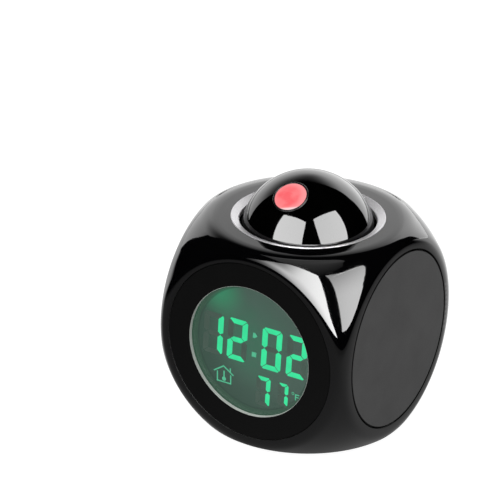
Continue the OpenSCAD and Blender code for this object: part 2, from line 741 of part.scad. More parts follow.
module chassis() color("#2c2c30") difference() {
    union() {
        translate([-chassis_w / 2, -chassis_l / 2, chassis_z]) cube([chassis_w, chassis_l, chassis_t]);
        translate([0, 0, cup_floor - cup_wall])
            cylinder(r = cup_in_r + cup_wall, h = chassis_top - cup_floor + cup_wall);
        round_places(4, post_place, 45) translate([0, 0, chassis_z])
            cylinder(r = post_r, h = post_top - chassis_z, $fn = 48);
    }
    translate([0, 0, cup_floor]) cylinder(r = cup_in_r, h = chassis_top - cup_floor + cut);
    four_places(chassis_screw_x, shelf_place) translate([0, 0, chassis_z - cut])
        cylinder(r = screw_free_r, h = chassis_t + 2 * cut, $fn = 32);
}

module chassis_screws() color("silver") four_places(chassis_screw_x, shelf_place)
    translate([0, 0, chassis_top]) screw(chassis_t + shelf_t - 1);

module press_switch() color("#2a2a2a") translate([0, 0, cup_floor])
    tact_switch(press_switch_side, press_switch_side / 3.5);

module return_spring() color("silver") translate([0, 0, cup_floor + stack_fit])
    coil(spring_r, spring_r, carrier_z - cup_floor - 2 * stack_fit, 6, spring_wire_r);

// A dish on four guide posts, with an ear on each side that holds a pivot pin
module ball_carrier() color("#2c2c30") difference() {
    union() {
        intersection() {
            translate([0, 0, carrier_z]) {
                cylinder(r = carrier_r, h = carrier_t);
                ring(carrier_r, carrier_r - 1.4, carrier_t + rim_h);
            }
            translate([0, 0, carrier_z]) cube([3 * carrier_r, 2 * carrier_half, 3 * rim_h], center = true);
        }
        translate([-ear_in - ear_t, -ear_r, carrier_z]) cube([2 * (ear_in + ear_t), 2 * ear_r, carrier_t]);
        translate([0, 0, plunger_end]) cylinder(r = 3, h = carrier_z - plunger_end + cut, $fn = 48);
        round_places(4, post_place, 45) translate([0, 0, carrier_z])
            cylinder(r = post_r + run_fit + sleeve_wall, h = sleeve_l, $fn = 48);
        for (s = [0, 1]) mirror([s, 0, 0]) {
            translate([ear_in, -ear_r, carrier_z]) cube([ear_t, 2 * ear_r, ball_z - carrier_z]);
            translate([ear_in, 0, ball_z]) rotate([0, 90, 0]) cylinder(r = ear_r, h = ear_t, $fn = 64);
        }
    }
    round_places(4, post_place, 45) translate([0, 0, carrier_z - cut])
        cylinder(r = post_r + run_fit, h = sleeve_l + 2 * cut, $fn = 48);
    translate([0, 0, ball_z]) rotate([0, 90, 0])
        cylinder(r = pin_r + run_fit, h = 3 * ball_r, center = true, $fn = 48);
}

/* ---------- projector ball ---------- */

// Puts its children in the ball, with local z along the projector's axis
module in_ball() {
    translate([0, 0, ball_z]) rotate([ball_tilt, 0, 0]) children();
}

module pivot_pins() color("silver") translate([0, 0, ball_z]) for (s = [0, 1]) mirror([s, 0, 0])
    translate([pole_flat - 5, 0, 0]) rotate([0, 90, 0])
        cylinder(r = pin_r, h = ear_in + ear_t - pole_flat + 5, $fn = 48);

module friction_washers() color("#7a2a2a") translate([0, 0, ball_z]) for (s = [0, 1]) mirror([s, 0, 0])
    translate([pole_flat + stack_fit, 0, 0]) rotate([0, 90, 0])
        ring(ear_r, pin_r + stack_fit, washer_t);

// A ball whose poles lie on the pivot axis
module ball(r) {
    rotate([0, 90, 0]) sphere(r);
}

module ball_shell() color("#050505") in_ball() difference() {
    union() {
        difference() {
            intersection() {
                ball(ball_r);
                translate([-ball_r - cut, -ball_r - cut, -seam_drop]) cube(2 * ball_r + 2 * cut);
            }
            ball(ball_r - ball_wall);
        }
        // bosses of the pivot pins and posts of the closing cap, trimmed to the ball
        intersection() {
            ball(ball_r - ball_wall / 2);
            union() {
                rotate([0, 90, 0]) difference() {
                    cylinder(r = ear_r + 0.4, h = 2 * ball_r, center = true);
                    cylinder(r = 2 * ear_r, h = 2 * (pole_flat - pin_boss_l), center = true);
                }
                round_places(3, ball_post_place, 90) translate([0, 0, -seam_drop + stack_fit])
                    cylinder(r = ball_post_r, h = 2 * ball_r, $fn = 48);
                translate([0, 0, lens_face - lens_ring_l - 3])
                    cylinder(r = barrel_r + stack_fit + 1.4, h = lens_ring_l + 3);
            }
        }
    }
    // flats and bores at the two poles
    for (s = [0, 1]) mirror([s, 0, 0]) translate([pole_flat, 0, 0]) rotate([0, 90, 0])
        cylinder(r = 2 * ear_r, h = 2);
    rotate([0, 90, 0]) difference() {
        cylinder(r = pin_r + stack_fit / 2, h = 3 * ball_r, center = true, $fn = 48);
        cylinder(r = 2 * pin_r, h = 2 * (pole_flat - pin_depth), center = true);
    }
    // opening of the projector
    cylinder(r = lens_hole_r, h = 2 * ball_r);
    round_places(3, ball_post_place, 90) translate([0, 0, -seam_drop - cut])
        cylinder(r = pilot_r, h = cap_pilot_l + cut, $fn = 32);
}

// Closes the ball below its seam, with a hole in the middle for the wires
module ball_cap() color("#050505") in_ball() difference() {
    intersection() {
        sphere(ball_r);
        translate([-ball_r, -ball_r, -2 * ball_r]) cube([2 * ball_r, 2 * ball_r, 2 * ball_r - seam_drop]);
    }
    difference() {
        sphere(ball_r - ball_wall);
        round_places(3, ball_post_place, 90) translate([0, 0, -2 * ball_r])
            cylinder(r = ball_post_r, h = 2 * ball_r, $fn = 48);
    }
    translate([0, 0, -2 * ball_r]) cylinder(r = wire_hole_r, h = 2 * ball_r, $fn = 48);
    round_places(3, ball_post_place, 90) translate([0, 0, -2 * ball_r]) {
        cylinder(r = screw_free_r, h = 2 * ball_r, $fn = 32);
        cylinder(r = screw_head_r + seat_fit, h = 2 * ball_r - seam_drop - cap_floor, $fn = 32);
    }
}

module ball_screws() color("silver") in_ball() translate([0, 0, -seam_drop - cap_floor]) mirror([0, 0, 1])
    round_places(3, ball_post_place, 90) screw(cap_floor + 5);

module lens_ring() color("#0a0a0a") in_ball() translate([0, 0, lens_face + lens_ring_proud]) rotate_extrude()
    polygon([[lens_r + stack_fit, -lens_ring_l], [barrel_r, -lens_ring_l], [barrel_r, -0.3],
        [barrel_r - 0.3, 0], [lens_r + stack_fit + 0.2, 0], [lens_r + stack_fit, -0.2]]);

// A crowned lens that sits in the ring
module projector_lens() color("#ff7b80") in_ball() translate([0, 0, lens_seat]) {
    crown_r = (pow(lens_r, 2) + pow(lens_crown, 2)) / (2 * lens_crown);
    intersection() {
        cylinder(r = lens_r, h = lens_edge_t + lens_crown + cut);
        translate([0, 0, lens_edge_t + lens_crown - crown_r]) sphere(crown_r);
    }
}

module projector_barrel() color("#161618") in_ball() difference() {
    union() {
        translate([0, 0, barrel_foot]) cylinder(r = barrel_r, h = barrel_top - barrel_foot);
        translate([0, 0, led_board_s + board_t]) linear_extrude(barrel_foot - led_board_s - board_t + 2)
            square(slide_side + 4, center = true);
    }
    translate([0, 0, led_board_s]) cylinder(r = barrel_r - barrel_wall, h = 2 * ball_r);
    translate([0, 0, barrel_foot - slide_t - stack_fit]) linear_extrude(slide_t + 2 * stack_fit)
        square([slide_side + 2 * stack_fit, slide_side + 2 * slide_grip], center = true);
}

module condenser_lens() color("#e8f2ff", 0.5) in_ball() translate([0, 0, barrel_foot + condenser_s])
    intersection() {
        cylinder(r = barrel_r - barrel_wall - stack_fit, h = condenser_t + cut);
        translate([0, 0, condenser_t - condenser_r]) sphere(condenser_r);
    }

module slide_lcd() color("#5b6a66") in_ball() translate([0, 0, barrel_foot - slide_t])
    linear_extrude(slide_t) square(slide_side, center = true);

module led_board() color("#1f5a36") in_ball() difference() {
    translate([0, 0, led_board_s]) cylinder(r = led_board_r, h = board_t);
    round_places(3, ball_post_place, 90) translate([0, 0, led_board_s - cut])
        cylinder(r = ball_post_r + seat_fit, h = board_t + 2 * cut, $fn = 48);
}

module led_emitter() color("#ffd9d9") in_ball() translate([0, 0, led_board_s + board_t]) {
    translate([-led_side / 2, -led_side / 2, 0]) cube([led_side, led_side, led_t]);
    translate([0, 0, led_t / 2]) intersection() {
        sphere(led_dome_r);
        cylinder(r = 2 * led_dome_r, h = 2 * led_dome_r);
    }
}

housing();
display_bezel();
window_trim();
display_window();
lcd_glass();
lcd_holder();
backlight();
contact_strips();
main_board();
controller_chip();
board_screws();
side_panel_right();
side_panel_left();
rear_panel();
key_mode();
key_set();
key_up();
key_down();
key_board();
key_switches();
key_board_screws();
speaker();
rear_screws();
base_cover();
battery_door();
feet();
battery_cells();
battery_contacts();
base_screws();
collar_ring();
chassis();
chassis_screws();
press_switch();
return_spring();
ball_carrier();
pivot_pins();
friction_washers();
ball_shell();
ball_cap();
ball_screws();
lens_ring();
projector_lens();
projector_barrel();
condenser_lens();
slide_lcd();
led_board();
led_emitter();
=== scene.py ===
import math
import bmesh
import bpy
from mathutils import Matrix, Vector
from mathutils.geometry import tessellate_polygon


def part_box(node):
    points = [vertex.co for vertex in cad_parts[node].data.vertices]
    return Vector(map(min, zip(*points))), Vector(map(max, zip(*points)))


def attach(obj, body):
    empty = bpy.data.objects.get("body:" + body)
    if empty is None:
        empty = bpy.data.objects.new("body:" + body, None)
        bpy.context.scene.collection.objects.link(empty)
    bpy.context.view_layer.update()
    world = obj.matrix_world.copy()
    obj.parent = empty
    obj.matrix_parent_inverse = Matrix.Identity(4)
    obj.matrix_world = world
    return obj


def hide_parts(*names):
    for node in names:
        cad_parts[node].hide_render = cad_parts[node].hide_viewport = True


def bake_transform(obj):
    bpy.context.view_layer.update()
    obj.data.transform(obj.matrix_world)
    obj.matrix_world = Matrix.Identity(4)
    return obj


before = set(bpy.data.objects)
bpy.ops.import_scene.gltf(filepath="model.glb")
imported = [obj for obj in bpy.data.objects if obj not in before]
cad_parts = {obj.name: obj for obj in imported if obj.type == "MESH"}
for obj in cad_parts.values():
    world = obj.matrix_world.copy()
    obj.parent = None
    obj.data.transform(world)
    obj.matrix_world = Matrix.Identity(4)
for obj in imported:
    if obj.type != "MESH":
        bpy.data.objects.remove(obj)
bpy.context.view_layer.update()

scene = bpy.context.scene
scene.view_settings.view_transform = "Standard"
mm = 0.001

# ---------------------------------------------------------------- camera
# Long lens, a little above the clock and to its right, rolled a degree or so.
case_middle = Vector((0, 0, 40)) * mm
camera_azimuth = math.radians(31.12)
camera_elevation = math.radians(26.11)
camera_roll = math.radians(1.26)
camera_distance = 1.116
image_side = 480                      # pixels
focal_pixels = 2995.3
middle_pixel = (306.2, 311.9)         # where the middle of the case falls in the image

back = Vector((math.sin(camera_azimuth) * math.cos(camera_elevation),
               -math.cos(camera_azimuth) * math.cos(camera_elevation), math.sin(camera_elevation)))
level = Vector((math.cos(camera_azimuth), math.sin(camera_azimuth), 0))
upright = back.cross(level)
image_x = level * math.cos(camera_roll) + upright * math.sin(camera_roll)
image_y = upright * math.cos(camera_roll) - level * math.sin(camera_roll)
aim = (image_x * (image_side / 2 - middle_pixel[0]) + image_y * (middle_pixel[1] - image_side / 2)
       - back * focal_pixels).normalized()
across = (image_x - aim * image_x.dot(aim)).normalized()
camera_axes = Matrix((across, across.cross(aim), -aim)).transposed()
lens = bpy.data.cameras.new("camera")
lens.sensor_width = 36
lens.lens = focal_pixels / image_side * lens.sensor_width
camera = bpy.data.objects.new("camera", lens)
camera.matrix_world = Matrix.Translation(case_middle + back * camera_distance) @ camera_axes.to_4x4()
scene.collection.objects.link(camera)
scene.camera = camera


# ---------------------------------------------------------------- studio
# A plain white table and room, and one large soft lamp. What the gloss pieces mirror is set apart: the table
# shows them its own painted light and shade here, and their soft boxes come last, after the pieces that they
# light.
def linear(code):
    """Linear colour of an sRGB hex code."""
    parts = [int(code[i:i + 2], 16) / 255 for i in (1, 3, 5)]
    return [p / 12.92 if p <= 0.04045 else ((p + 0.055) / 1.055) ** 2.4 for p in parts] + [1]


def add(tree, kind, links=None, **settings):
    """Adds one shader node with its settings and links; a node that is linked gives its first live output."""
    made = tree.nodes.new(kind)
    for name, value in settings.items():
        setattr(made, name, value)
    for socket, value in (links or {}).items():
        if isinstance(value, bpy.types.Node):
            value = next(output for output in value.outputs if output.enabled)
        if isinstance(value, bpy.types.NodeSocket):
            tree.links.new(value, made.inputs[socket])
        else:
            made.inputs[socket].default_value = value
    return made


def blank(name):
    """A new material without a shader, its node tree, and the place of a point on the piece in metres."""
    made = bpy.data.materials.new(name)
    made.use_nodes = True
    tree = made.node_tree
    tree.nodes.clear()
    return made, tree, add(tree, "ShaderNodeTexCoord").outputs["Object"]


def whole(name, form):
    """An object with the mesh that was built in form."""
    mesh = bpy.data.meshes.new(name)
    form.to_mesh(mesh)
    form.free()
    made = bpy.data.objects.new(name, mesh)
    scene.collection.objects.link(made)
    return made


# The room is white to the camera and dimmer as a light, and the gloss pieces don't mirror it.
room = bpy.data.worlds.new("room")
scene.world = room
room.use_nodes = True
sky = room.node_tree
sky.nodes.clear()
rays = add(sky, "ShaderNodeLightPath")
mirrored = add(sky, "ShaderNodeBackground", {"Color": linear("#ffffff"), "Strength": 0.0})
soft = add(sky, "ShaderNodeBackground", {"Color": linear("#ffffff"), "Strength": 0.75})
white = add(sky, "ShaderNodeBackground", {"Color": linear("#ffffff"), "Strength": 1.0})
unseen = add(sky, "ShaderNodeMixShader", {0: rays.outputs["Is Glossy Ray"], 1: soft, 2: mirrored})
seen = add(sky, "ShaderNodeMath", {0: rays.outputs["Is Camera Ray"], 1: rays.outputs["Is Transmission Ray"]},
           operation="MAXIMUM")
both = add(sky, "ShaderNodeMixShader", {0: seen, 1: unseen, 2: white})
add(sky, "ShaderNodeOutputWorld", {"Surface": both})

form = bmesh.new()
bmesh.ops.create_circle(form, cap_ends=True, segments=96, radius=4)
table_top = whole("table", form)
away = upright.cross(Vector((0, 0, 1))).cross(Vector((0, 0, 1))).normalized()
away = away * math.copysign(1, -away.dot(back))          # level, away from the camera
paper, tree, place = blank("white paper")     # plain white with a soft shadow, and open from below
rays = add(tree, "ShaderNodeLightPath")
# To the gloss pieces the table shows painted light and shade: a dim near part stands for the clock's shadow on
# it, with painted pools of light, and the part behind is bright.
pools = []                                     # of light on the near part, and the end of that part
for right, behind, inner, outer, bright in ((0.16, -0.1, 0, 0.3, 0.28), (-0.15, -0.3, 0, 0.27, 0.08),
                                            (0.08, -0.22, 0.33, 0.44, 1.0)):
    gap = add(tree, "ShaderNodeVectorMath", {0: place, 1: level * right + away * behind}, operation="DISTANCE")
    pools.append(add(tree, "ShaderNodeMapRange", {0: gap, 1: inner, 2: outer, 3: bright, 4: 0},
                     interpolation_type="SMOOTHSTEP"))
near = add(tree, "ShaderNodeMath", {0: pools[0], 1: pools[1]}, operation="ADD")
near = add(tree, "ShaderNodeMath", {0: near, 1: 0.2}, operation="ADD")
near = add(tree, "ShaderNodeMath", {0: near, 1: pools[2]}, operation="MULTIPLY")
far = 1.0                                      # the part behind, within two slanting edges
for axis, start, end, first, last in ((level * 0.827 + away * 0.562, -0.13, -0.07, 0, 1),
                                      (away * 0.877 - level * 0.48, -0.03, 0.05, 0, 1),
                                      (away, 0, 0.06, 0, 1.25), (away, 0.6, 0.75, 1, 0)):
    along = add(tree, "ShaderNodeVectorMath", {0: place, 1: axis}, operation="DOT_PRODUCT")
    share = add(tree, "ShaderNodeMapRange", {0: along, 1: start, 2: end, 3: first, 4: last},
                interpolation_type="SMOOTHSTEP")
    far = add(tree, "ShaderNodeMath", {0: share, 1: far}, operation="MULTIPLY")
strength = add(tree, "ShaderNodeMath", {0: near, 1: far}, operation="ADD")
painted_table_light = add(tree, "ShaderNodeEmission", {"Color": linear("#ffffff"), "Strength": strength})
bounce = add(tree, "ShaderNodeEmission", {"Color": linear("#ffffff"), "Strength": 0.3})
hidden = add(tree, "ShaderNodeMixShader", {0: rays.outputs["Is Glossy Ray"], 1: bounce, 2: painted_table_light})
lit = add(tree, "ShaderNodeBsdfDiffuse", {"Color": linear("#8c8c8c")})
glow = add(tree, "ShaderNodeEmission", {"Color": linear("#ffffff"), "Strength": 0.95})
sheet = add(tree, "ShaderNodeAddShader", {0: lit, 1: glow})
shown = add(tree, "ShaderNodeMixShader", {0: rays.outputs["Is Camera Ray"], 1: hidden, 2: sheet})
underside = add(tree, "ShaderNodeNewGeometry").outputs["Backfacing"]
below = add(tree, "ShaderNodeMath", {0: underside, 1: rays.outputs["Is Camera Ray"]}, operation="MULTIPLY")
open_below = add(tree, "ShaderNodeMixShader", {0: below, 1: shown, 2: add(tree, "ShaderNodeBsdfTransparent")})
add(tree, "ShaderNodeOutputMaterial", {"Surface": open_below})
table_top.data.materials.append(paper)

lamp_side = 1.2
lamp_distance = 1.5
lamp_radiance = 0.8
lamp_turn = camera_azimuth - math.radians(50)
lamp_rise = math.radians(50)
lamp_way = Vector((math.sin(lamp_turn) * math.cos(lamp_rise), -math.cos(lamp_turn) * math.cos(lamp_rise),
                   math.sin(lamp_rise)))
light = bpy.data.lights.new("soft lamp left", "AREA")
light.size = lamp_side
light.energy = lamp_radiance * math.pi * lamp_side ** 2
lamp = bpy.data.objects.new("soft lamp left", light)
lamp.matrix_world = (Matrix.Translation(case_middle + lamp_way * lamp_distance)
                     @ lamp_way.to_track_quat("Z", "Y").to_matrix().to_4x4())
lamp.visible_camera = lamp.visible_glossy = lamp.visible_transmission = False
scene.collection.objects.link(lamp)

# ---------------------------------------------------------------- case
# The housing is one piece of ABS from a polished tool: a ball cut by six flat faces with rounded edges.
# The piece here follows the solid, and carries normals that turn softly from each flat face into the ball.
corner_radius = 55.3 * mm
edge_radius = 5.5 * mm
half_width = 40 * mm
half_height = 39.2 * mm
on_surface = 0.03 * mm
same_side = 0.8                       # least cosine between a face and the die's outside under it
quite_flat = 0.99999
face_end = math.radians(40.3)
ball_start = math.radians(46.4)
roll_end = 0.014                      # radians past the face's end
roll = 0.2                            # share of the turn that the rolled edge takes at once


def dressed_copy(name, node):
    """A copy of a CAD node's mesh that stands for it."""
    made = bpy.data.objects.new(name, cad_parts[node].data.copy())
    made.data.materials.clear()
    scene.collection.objects.link(made)
    return made


def edge_centre(point, axis):
    """Nearest point on the middle line of the rounded edge of one flat face, if the point lies past it."""
    half = half_height if axis == 2 else half_width
    ring_radius = math.sqrt((corner_radius - edge_radius) ** 2 - (half - edge_radius) ** 2)
    rise = Vector([math.copysign(half - edge_radius, point[axis]) if i == axis else 0 for i in range(3)])
    aside = Vector([0 if i == axis else point[i] for i in range(3)])
    if aside.length < ring_radius or abs(point[axis]) < half - edge_radius:
        return None
    return aside.normalized() * ring_radius + rise


def on_case(point, reach=0.4 * mm):
    """The nearest point on the die's ball or on one of its rounded edges."""
    for axis in range(3):
        half = half_height if axis == 2 else half_width
        centre = edge_centre(point, axis)
        if centre is None:
            continue
        outward = point - centre
        limit = (half - edge_radius) / (corner_radius - edge_radius)
        if abs(outward.length - edge_radius) < reach and abs(outward[axis]) > edge_radius * limit:
            return centre + outward.normalized() * edge_radius
    if abs(point.length - corner_radius) < reach:
        return point.normalized() * corner_radius
    return point


def on_outside(point):
    """Whether a point lies on the die's outside: its ball, a rounded edge or a flat face."""
    for axis in range(3):
        half = half_height if axis == 2 else half_width
        centre = edge_centre(point, axis)
        rounded = centre is not None and abs((point - centre).length - edge_radius) < on_surface
        if rounded or abs(abs(point[axis]) - half) < on_surface:
            return True
    return abs(point.length - corner_radius) < on_surface


def turned(angle, rolled):
    """How far the surface has left a flat face, at an angle from the face's axis: from 0 to 1. At the edges
    that hold a grey disc it is rolled in a little more at once."""
    share = min(1, max(0, (angle - face_end) / (ball_start - face_end)))
    first = min(1, max(0, (angle - face_end) / roll_end)) if rolled else 0
    return max(share * share * (3 - 2 * share), roll * first * first * (3 - 2 * first))


def case_normal(point):
    """Normal of the die's outside, which turns softly from each flat face into the ball."""
    unit = point.normalized()
    flats = [1 - turned(math.acos(min(1, abs(unit[i]))), i == 0) for i in range(3)]
    return (unit * max(0, 1 - sum(flats))
            + Vector([math.copysign(share, part) for share, part in zip(flats, unit)])).normalized()


def moulded(name, colour, roughness, grain=0.35, depth=0.012, specular=0.5):
    """Moulded plastic with the spark-eroded grain of its tool, grain mm wide and depth mm deep: a little
    coarser than it is, to show."""
    made, tree, place = blank(name)
    cloud = add(tree, "ShaderNodeTexNoise", {"Vector": place, "Scale": 1 / (11 * mm), "Detail": 3})
    shade = add(tree, "ShaderNodeMapRange", {0: cloud, 1: 0.3, 2: 0.7, 3: 0.93, 4: 1.07})
    tint = add(tree, "ShaderNodeHueSaturation", {"Value": shade, "Color": linear(colour)})
    pits = add(tree, "ShaderNodeTexNoise", {"Vector": place, "Scale": 1 / (grain * mm), "Detail": 2})
    rough = add(tree, "ShaderNodeMapRange", {0: pits, 1: 0.25, 2: 0.75, 3: roughness * 0.9, 4: roughness * 1.1})
    relief = add(tree, "ShaderNodeBump", {"Height": pits, "Distance": depth * mm, "Strength": 1.0})
    shader = add(tree, "ShaderNodeBsdfPrincipled", {"Base Color": tint, "Roughness": rough, "Normal": relief,
                                                    "Specular IOR Level": specular})
    add(tree, "ShaderNodeOutputMaterial", {"Surface": shader})
    return made


def polished(name, colour, wave=14, depth=0.004, roughness=0.035):
    """ABS from a polished tool: mirror gloss, with the faint waviness, wave mm long, that cooling leaves."""
    made, tree, place = blank(name)
    sink = add(tree, "ShaderNodeTexNoise", {"Vector": place, "Scale": 1 / (wave * mm), "Detail": 1})
    relief = add(tree, "ShaderNodeBump", {"Height": sink, "Distance": depth * mm, "Strength": 1.0})
    smear = add(tree, "ShaderNodeTexNoise", {"Vector": place, "Scale": 1 / (6 * mm), "Detail": 4})
    rough = add(tree, "ShaderNodeMapRange", {0: smear, 1: 0.35, 2: 0.75, 3: roughness, 4: roughness * 1.6})
    shader = add(tree, "ShaderNodeBsdfPrincipled", {"Base Color": linear(colour), "Roughness": rough,
                                                    "Normal": relief})
    add(tree, "ShaderNodeOutputMaterial", {"Surface": shader})
    return made


longest_edge = 2.5 * mm
housing = dressed_copy("housing_shell", "housing")
form = bmesh.new()
form.from_mesh(housing.data)
bmesh.ops.remove_doubles(form, verts=form.verts, dist=0.001 * mm)
is_round = form.faces.layers.int.new("round")
for face in form.faces:
    spots = [corner.co - case_middle for corner in face.verts]
    face[is_round] = (all(on_outside(spot) and case_normal(spot).dot(face.normal) > same_side for spot in spots)
                      and any(case_normal(spot).dot(face.normal) < quite_flat for spot in spots))
while True:
    long = [edge for edge in form.edges if edge.calc_length() > longest_edge
            and any(face[is_round] for face in edge.link_faces)]
    if not long:
        break
    cut = bmesh.ops.subdivide_edges(form, edges=long, cuts=1)
    for point in cut["geom_inner"]:
        if isinstance(point, bmesh.types.BMVert):
            point.co = case_middle + on_case(point.co - case_middle)
    bmesh.ops.triangulate(form, faces=[face for face in form.faces if len(face.verts) > 3])

# The flat top and the rear half are a piece of their own, which the front soft boxes leave out: seen low from
# behind, they would mirror nothing but the boxes.
top_flat = math.sqrt((corner_radius - edge_radius) ** 2 - (half_height - edge_radius) ** 2)
upper = form.copy()
for half, keeps_upper in ((form, False), (upper, True)):
    others = []
    for face in half.faces:
        middle = face.calc_center_median() - case_middle
        if keeps_upper != (middle.y > 0 or middle.z > half_height - on_surface and middle.xy.length < top_flat):
            others.append(face)
    bmesh.ops.delete(half, geom=others, context="FACES")
form.to_mesh(housing.data)
form.free()
housing_top = whole("housing_shell_top", upper)

gloss_black = polished("polished black ABS", "#040405")                  # deep black that mirrors the room
raw_black = moulded("unpolished black ABS", "#040404", 0.6, specular=0.1)     # dead black seats and inside
for piece in (housing, housing_top):
    mesh = piece.data
    mesh.polygons.foreach_set("use_smooth", [True] * len(mesh.polygons))
    mesh.set_sharp_from_angle(angle=math.radians(30))
    normals = [Vector(corner.vector) for corner in mesh.corner_normals]
    for face in mesh.polygons:
        spots = [mesh.vertices[mesh.loops[i].vertex_index].co - case_middle for i in face.loop_indices]
        face.material_index = 1
        if all(on_outside(spot) and case_normal(spot).dot(face.normal) > same_side for spot in spots):
            face.material_index = 0
            for i, spot in zip(face.loop_indices, spots):
                normals[i] = case_normal(spot)
        elif max(abs(part) for part in face.normal) > quite_flat:
            for i in face.loop_indices:
                normals[i] = face.normal.copy()
    mesh.normals_split_custom_set(normals)
    mesh.materials.append(gloss_black)
    mesh.materials.append(raw_black)
    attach(piece, "clock")
    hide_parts("housing")


# ---------------------------------------------------------------- display frame and backlight
# A white ABS frame in the bezel's spigot holds the light guide of the green lamps, and two rubber strips
# carry the glass's contacts to the board.
def dress(material, *nodes):
    """Gives CAD nodes their finish."""
    for node in nodes:
        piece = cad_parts[node]
        if not piece.material_slots:
            piece.data.materials.append(material)
        for held in piece.material_slots:
            held.material = material


dress(moulded("white ABS", "#e4e4e0", 0.5, depth=0.004), "lcd_holder")               # satin, slightly warm
dress(moulded("frosted light guide", "#dff3ea", 0.4, depth=0.002), "backlight")      # milky, a little green
dress(moulded("conductive rubber", "#2a2a2c", 0.7), "contact_strips")                # dull black

# ---------------------------------------------------------------- liquid crystal glass
# A negative liquid crystal cell in front of a green lamp: the field stays dark grey green, and only the
# driven marks let the lamp through.
glass_front = -37.65                           # mm, front face of the glass
display_z = 40                                 # mm, height of the middle of the display
seal_radius = 23.9                             # mm, the thin dark line of the cell's seal
seal_half = 0.32
cell, tree, place = blank("dark liquid crystal field")        # dim green, mottled, brighter near the lamp
gaps = [add(tree, "ShaderNodeVectorMath", {0: place, 1: (x * mm, glass_front * mm, (display_z + z) * mm)},
            operation="DISTANCE") for x, z in ((-1, 3), (9, 7), (-13.8, 20.3), (1, 0.9))]
# Painted shade: left_shade darkens the field towards the left and bottom.
middle_glow, left_shade, lamp_glow, rim = [
    add(tree, "ShaderNodeMapRange", {0: gap, 1: start * mm, 2: end * mm, 3: first, 4: last},
        interpolation_type="SMOOTHSTEP")
    for gap, (start, end, first, last) in zip(gaps, ((4, 22, 0.6, 0), (17, 33, 0, 0.85), (0, 13, 0.85, 0),
                                                     (23.7, 24.7, 0, 1)))]
clouds = add(tree, "ShaderNodeTexNoise", {"Vector": place, "Scale": 1 / (5 * mm), "Detail": 4})
mottle = add(tree, "ShaderNodeMapRange", {0: clouds, 1: 0.4, 2: 0.7, 3: 0, 4: 0.35},
             interpolation_type="SMOOTHSTEP")
seal = add(tree, "ShaderNodeMath", {0: gaps[3], 1: seal_radius * mm, 2: seal_half * mm}, operation="COMPARE")
seal = add(tree, "ShaderNodeMath", {0: seal, 1: 0.45}, operation="MULTIPLY")
field = linear("#445b51")
for share, colour in ((middle_glow, "#347459"), (mottle, "#4a5f57"), (left_shade, "#2f4a3e"),
                      (lamp_glow, "#2f8f66"), (rim, "#30503f"), (seal, "#1d352b")):
    field = add(tree, "ShaderNodeMix", {0: share, 6: field, 7: linear(colour)}, data_type="RGBA")
shader = add(tree, "ShaderNodeBsdfPrincipled", {"Base Color": linear("#0b1210"), "Roughness": 0.25,
                                                "Emission Color": field, "Emission Strength": 0.95})
add(tree, "ShaderNodeOutputMaterial", {"Surface": shader})
dress(cell, "lcd_glass")

mark_thickness = 0.04 * mm


def mark(form, outline):
    """Adds one flat mark on the glass, from its outline in mm."""
    front = glass_front * mm - mark_thickness
    rims = [[form.verts.new((x * mm, y, (display_z + z) * mm)) for x, z in outline]
            for y in (front, front + mark_thickness)]
    form.faces.new(rims[0])
    form.faces.new(rims[1][::-1])
    for i in range(len(outline)):
        j = (i + 1) % len(outline)
        form.faces.new((rims[0][j], rims[0][i], rims[1][i], rims[1][j]))


segment_gap = 0.16
corner_cut = 0.9 / 2.45                        # share of the stroke
slant = math.tan(math.radians(3.0))


def digit(form, segments, left, bottom, width, height, stroke, thin):
    """Seven-segment digit: mitred bars, stroke wide in the uprights and thin in the level bars."""
    half = height / 2
    g = segment_gap
    c = corner_cut * stroke
    x1, z1 = c * stroke / (stroke + thin), c * thin / (stroke + thin)      # where mitre and cut corner meet
    bars = {
        "a": [(x1 + g, height - z1), (c + g, height), (width - c - g, height), (width - x1 - g, height - z1),
              (width - stroke, height - thin), (stroke, height - thin)],
        "d": [(stroke, thin), (width - stroke, thin), (width - x1 - g, z1), (width - c - g, 0), (c + g, 0),
              (x1 + g, z1)],
        "g": [(stroke / 2 + g, half), (stroke + g, half + thin / 2), (width - stroke - g, half + thin / 2),
              (width - stroke / 2 - g, half), (width - stroke - g, half - thin / 2),
              (stroke + g, half - thin / 2)],
        "f": [(0, height - c - g), (x1, height - z1 - g), (stroke - g, height - thin - g),
              (stroke - g, half + thin / 2 + g), (stroke / 2, half + g), (0, half + stroke / 3 + g)],
        "e": [(0, half - stroke / 3 - g), (stroke / 2, half - g), (stroke - g, half - thin / 2 - g),
              (stroke - g, thin + g), (x1, z1 + g), (0, c + g)],
    }
    bars["b"] = [(width - x, z) for x, z in bars["f"]][::-1]
    bars["c"] = [(width - x, z) for x, z in bars["e"]][::-1]
    for bar in segments:
        mark(form, [(left + x + (z - half) * slant, bottom + z) for x, z in bars[bar]])


def stripe(form, start, end, width):
    """A straight line of the icons."""
    a, b = Vector(start), Vector(end)
    side = Vector((-(b - a).y, (b - a).x)).normalized() * width / 2
    along = (b - a).normalized() * width / 2
    mark(form, [tuple(a - along - side), tuple(b + along - side), tuple(b + along + side),
                tuple(a - along + side)])


time_size = dict(bottom=-5.9, width=8.4, height=16.8, stroke=2.45, thin=2.0)
tens_size = dict(left=2.3, bottom=-21.2, width=6.0, height=11.9, stroke=2.0, thin=1.6)
ones_size = dict(left=11.6, bottom=-18.8, width=4.4, height=9.2, stroke=1.65, thin=1.2)
time_places = (-20.6, -10.2, 4.5, 15.2)
lit_form = bmesh.new()
for left, driven in zip(time_places, ("bc", "abged", "abcdef", "abged")):        # 12:02
    digit(lit_form, driven, left, **time_size)
digit(lit_form, "abc", **tens_size)                                              # 77
digit(lit_form, "abc", **ones_size)
marks = whole("display_digits", lit_form)

